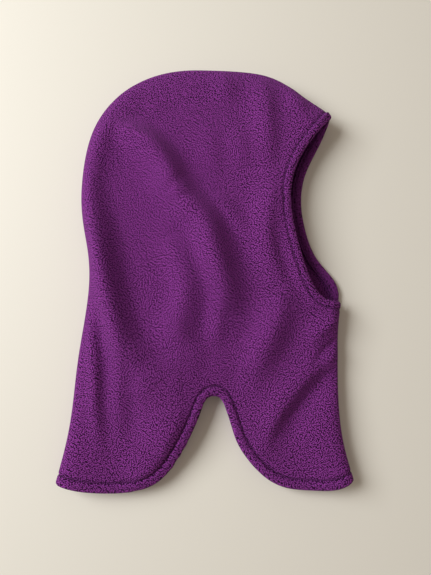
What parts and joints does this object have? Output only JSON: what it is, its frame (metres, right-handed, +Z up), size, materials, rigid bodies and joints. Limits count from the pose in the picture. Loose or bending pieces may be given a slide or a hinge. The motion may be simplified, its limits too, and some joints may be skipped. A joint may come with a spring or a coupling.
{
  "type": "balaclava",
  "caption": "Hood-type fleece balaclava lying flat on its side: two sewn side panels, a hemmed face opening, and a bottom edge with a front and a back bib.",
  "frame": {"origin": "middle of the footprint, on the surface that the balaclava lies on", "axes": "+Z up off that surface, +Y from the bibs to the crown, +X out of the face opening"},
  "size_m": [0.2408, 0.37, 0.0242],
  "materials": {
    "fleece_right": "pebbled brushed fleece, matte",
    "fleece_left": "pebbled brushed fleece, matte",
    "overlock_thread": "soft textured polyester thread",
    "seam_thread": "spun polyester thread",
    "hem_thread": "spun polyester thread"
  },
  "bodies": {
    "root": {"right_side_panel": "fleece_right", "left_side_panel": "fleece_left", "crown_back_seam_overlock": "overlock_thread", "crown_back_seam_needle_thread": "seam_thread", "front_seam_overlock": "overlock_thread", "front_seam_needle_thread": "seam_thread", "bottom_hem_top_thread": "hem_thread", "bottom_hem_bobbin_thread": "hem_thread", "face_hem_top_thread": "hem_thread", "face_hem_bobbin_thread": "hem_thread"}
  },
  "joints": []
}
